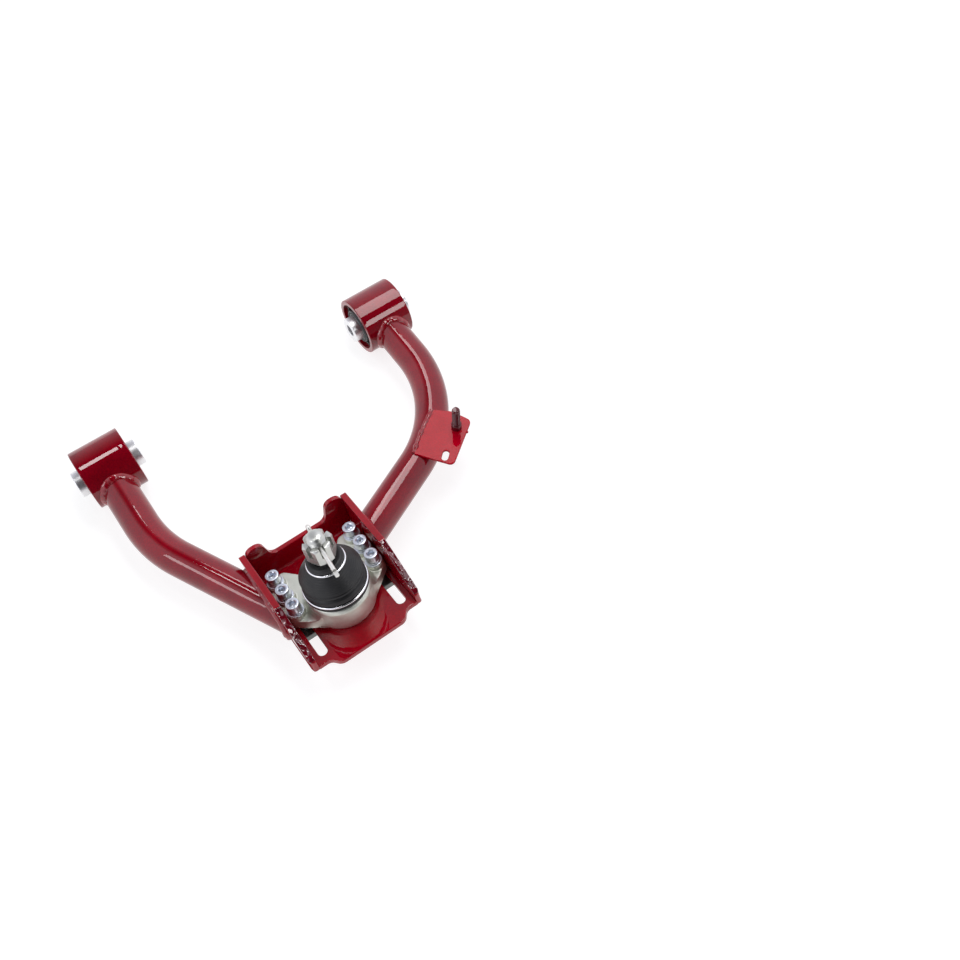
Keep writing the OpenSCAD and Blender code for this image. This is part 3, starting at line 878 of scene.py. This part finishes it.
def spring_washer(i):
    """One turn of rectangular wire whose ends stand a little apart."""
    r0, r1, clear, bevel = 4.15, 7.0, 0.12, 0.3
    loops = []
    for k, t in enumerate(np.linspace(0, TAU - 0.16, 64) + 3.4 + 0.9 * i):
        lift = 0.25 * (k / 63 - 0.5)
        z0, z1 = BOSS_H + FLAT_T + clear + lift, BOSS_H + SPRING_TOP - clear + lift
        sec = [(r0, z0), (r1 - bevel, z0), (r1, z0 + bevel),
               (r1, z1 - bevel), (r1 - bevel, z1), (r0, z1)]
        loops.append([(r * math.cos(t), r * math.sin(t), z) for r, z in sec])
    v, f = grid(loops)
    return v, f + end_caps(loops)


for node, make in (("clamp_screws", screw), ("flat_washers", flat_washer),
                   ("spring_washers", spring_washer)):
    v, f = join(*[shifted(make(i), p) for i, p in enumerate(screw_at)])
    build(f"{node}_plated", v, f, BOX, "cartridge", "bright_screws", bright, [node], 28)

NUT_HALF, NUT_FRONT, NUT_BACK, NUT_LOW, NUT_TOP = 7.5, -4, 58, -11.3, -5.3
for side, u in (("front", -SLOT_U), ("rear", SLOT_U)):
    out = rounded([(u - NUT_HALF, NUT_FRONT), (u + NUT_HALF, NUT_FRONT),
                   (u + NUT_HALF, NUT_BACK), (u - NUT_HALF, NUT_BACK)], [1.0] * 4, 4)
    holes = [circle(4.0, 48, (u, v)) for v in screw_v]
    v, f = plate(dense(clean(out), 4.0), holes, NUT_LOW, NUT_TOP, 0.5)
    build(f"{side}_nut_plate_cut", v, f, BOX, "cartridge", "dark_steel", dark_steel,
          [f"{side}_nut_plate"], 30, True)

# the hidden pieces keep their CAD mesh
for node, mat in (("lower_seat", liner), ("upper_seat", liner), ("retaining_collar", dark_steel)):
    frame["nodes"][node].data.materials.clear()
    frame["nodes"][node].data.materials.append(mat)

# ------------------------------------------------------------------ boot
# profiles are (radius, height); its two halves meet at the groove at height PART_W
PART_W = 49.8
lower_out = [(28.5, 30.9), (29.4, 31.3), (29.6, 32.3), (29.3, 33.5), (28.4, 34.2), (27.9, 35.2),
             (27.9, 36.8), (28.4, 37.7), (28.8, 38.6), (29.0, 39.8), (28.85, 41.6), (28.3, 43.0),
             (27.0, 43.9), (26.4, 44.7), (27.0, 45.5), (28.1, 46.2), (28.3, 47.6), (27.6, 48.8),
             (26.7, PART_W)]
lower_in = [(25.2, PART_W), (24.8, 46.0), (24.8, 43.6), (26.0, 40.4), (25.2, 38.4), (25.2, 30.9)]
upper_out = [(26.7, PART_W), (27.2, 50.3), (28.2, 50.8), (28.4, 51.4), (28.1, 52.2), (26.6, 54.4),
             (24.8, 57.0), (22.8, 59.1), (20.8, 61.0), (19.0, 62.6), (17.4, 63.9), (16.2, 64.8),
             (15.85, 65.6), (15.85, 66.9), (16.5, 67.7), (16.8, 68.6), (16.6, 70.2), (15.8, 71.3),
             (14.6, 71.9), (12.4, 71.8), (10.7, 71.2)]
upper_in = [(10.7, 68.0), (13.4, 64.2), (18.0, 59.6), (22.0, 55.4), (24.8, 51.4), (25.2, PART_W)]


def boot_half(name, outer, inner):
    """Half of the boot, turned from its outer and inner profiles."""
    # faint turned rings on the outside, as left by the mould
    depth, pitch = 0.11, 1.5
    skin = [p + np.array([depth * math.sin(TAU * p[1] / pitch), 0]) for p in smooth_line(outer, 9)]
    v, f = lathe(skin + smooth_line(inner, 3), 128)
    obj = build(name, v, f, BOX, None, "rubber_black", rubber, ["boot"], 50)
    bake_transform(obj)


boot_half("boot_skirt", lower_out, lower_in)
boot_half("boot_cone", upper_out, upper_in)

for node, body, r, w, thick in (("lower_boot_ring", "cartridge", 29.1, 36.0, 1.1),
                                ("upper_boot_ring", "boot_neck", 17.0, 66.2, 1.05)):
    v, f = lathe(circle(thick, 16, (r, w)), 160)
    build(f"{node}_wire", v, f, BOX, body, "wire_steel", wire, [node], 60)

# ------------------------------------------------------------------ ball stud, nut and split pin
PIN_W = 92.0
BALL_R, STUD_R, STUD_FROM, STUD_TO = 14.0, 8.0, 75.2, 99.4
arc = [(BALL_R * math.cos(a), BALL_H + BALL_R * math.sin(a)) for a in np.linspace(-1.02, 0.98, 24)]
neck = [(7.5, 33.5), (7.5, 40), (10, 46), (10, 52), (8.4, 73.6), (7.4, 74.2)]
tip = [(STUD_R, STUD_FROM), (STUD_R, STUD_TO), (7.0, 101.2), (5.2, 102.1), (2.6, 102.5), (POLE, 102.6)]
v, f = threaded([(POLE, arc[0][1])] + arc + neck + tip, STUD_R, STUD_FROM, STUD_TO, 1.5, 0.75)
stud = build("ball_stud_plated", v, f, STUD, None, "zinc_plated", zinc, ["ball_stud"], 55)
# the cross hole for the split pin
v, f = sweep([(0, 20, PIN_W), (0, -20, PIN_W)], lambda i: circle(2.2, 32), [(0, 0, 1)] * 2, False)
drill = build("drill", v, f, STUD, None, "zinc_plated", zinc)
cut = stud.modifiers.new("hole", "BOOLEAN")
cut.object, cut.operation, cut.solver = drill, "DIFFERENCE", "EXACT"
bpy.context.view_layer.update()
drilled = evaluated(stud)
stud.modifiers.clear()
stud.data = drilled
bpy.data.objects.remove(drill)
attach(stud, "stud")

bevel = dict(width=0.00035, segments=3, limit_method="ANGLE", angle_limit=math.radians(28),
             harden_normals=False)
mesh = cad_copy("castle_nut", [("BEVEL", bevel)])
adopt("castle_nut_plated", mesh, "stud", zinc, ["castle_nut"], 35, True)

# half-round wire: out along the upper leg, round the eye and back along the lower leg
WIRE_R, EYE_R, EYE_Y, EYE_OPEN, LEG_GAP = 1.85, 3.4, 18.2, 0.42, 0.1
eye_path = EYE_R - WIRE_R * 0.75
wire_at = [((y, LEG_GAP), (0, 1)) for y in np.linspace(-36, 14.4, 30)]
for a in np.linspace(math.pi - EYE_OPEN, EYE_OPEN - math.pi, 48):
    out = (math.cos(a), math.sin(a))
    wire_at.append(((EYE_Y + eye_path * out[0], eye_path * out[1]), out))
wire_at += [((y, -LEG_GAP), (0, -1)) for y in np.linspace(14.4, -42, 34)]
loops = []
for (y, z), (ny, nz) in wire_at:
    loops.append([(WIRE_R * math.sin(a), y + ny * WIRE_R * math.cos(a),
                   PIN_W + z + nz * WIRE_R * math.cos(a))
                  for a in np.linspace(-math.pi / 2, math.pi / 2, 13)])
v, f = grid(loops)
build("cotter_pin_formed", v, f + end_caps(loops), STUD, "split_pin", "bright_screws", satin,
      ["cotter_pin"], 40)


# ------------------------------------------------------------------ floor and light
floor_z, FLOOR_HALF = cad_bounds[0][2], 12
corners = ((-1, -1), (1, -1), (1, 1), (-1, 1))
me = bpy.data.meshes.new("floor")
me.from_pydata([(x * FLOOR_HALF, y * FLOOR_HALF, floor_z) for x, y in corners], [], [(0, 1, 2, 3)])
floor = bpy.data.objects.new("floor", me)
bpy.context.scene.collection.objects.link(floor)
fm = Mat("pale_floor", Specular_IOR_Level=0.0, Emission_Color=(1, 1, 1, 1), Emission_Strength=0.80)
fm.set("Base Color", fm.mix(fm.noise(400, 2), (0.30, 0.30, 0.305), (0.32, 0.32, 0.32)))
fm.set("Roughness", fm.range(fm.noise(60, 2), 0.8, 0.9))
me.materials.append(fm.mat)

# a pale room, dark overhead where the camera stands
world = bpy.data.worlds.new("studio")
world.use_nodes = True
bpy.context.scene.world = world
wt = world.node_tree
split = wt.nodes.new("ShaderNodeSeparateXYZ")
wt.links.new(wt.nodes.new("ShaderNodeTexCoord").outputs["Generated"], split.inputs[0])


def wmath(op, a, b=0.0):
    return math_node(wt, op, a, b)


# the dark part is an ellipse round the direction (0, -0.25), which narrows along y
wide = range_node(wt, split.outputs[1], 0.46, 0.24, -0.7, 0.3)
across = wmath("POWER", wmath("ABSOLUTE", wmath("DIVIDE", split.outputs[0], wide)), 2.0)
along = wmath("MULTIPLY", wmath("ADD", split.outputs[1], 0.25), 1 / 0.9)
along = wmath("POWER", wmath("ABSOLUTE", along), 2.0)
stops = ((0.08, 0.02), (0.22, 0.04), (0.36, 0.24), (0.60, 0.60), (1.0, 1.05))
dark = ramp_node(wt, wmath("MULTIPLY", wmath("ADD", across, along), 1 / 3.0),
                 [(at, (value * 0.94, value * 0.95, value * 1.04)) for at, value in stops])
wt.links.new(dark, wt.nodes["Background"].inputs[0])
wt.nodes["Background"].inputs[1].default_value = 1.0

LIGHT_H = 1.2


def softbox(name, x, y, size_x, size_y, radiance):
    """A rectangular softbox of that radiance, hung level over the part."""
    data = bpy.data.lights.new(name, "AREA")
    data.shape = "RECTANGLE"
    data.size, data.size_y = size_x, size_y
    data.energy = radiance * math.pi * size_x * size_y
    obj = bpy.data.objects.new(name, data)
    bpy.context.scene.collection.objects.link(obj)
    obj.location = (x, y, LIGHT_H)


softbox("main_box_left", 0.43, 0.31, 0.14, 0.82, 6.8)
softbox("main_box_right", 0.63, 0.225, 0.26, 0.95, 4.8)
softbox("small_box", -0.03, 0.265, 0.11, 0.27, 10.0)
softbox("front_box", 0.82, -1.25, 0.30, 0.80, 6.0)
softbox("left_strip", -1.08, 0.03, 0.50, 0.38, 4.6)

view = bpy.context.scene.view_settings
view.view_transform = "Standard"
view.look = "None"
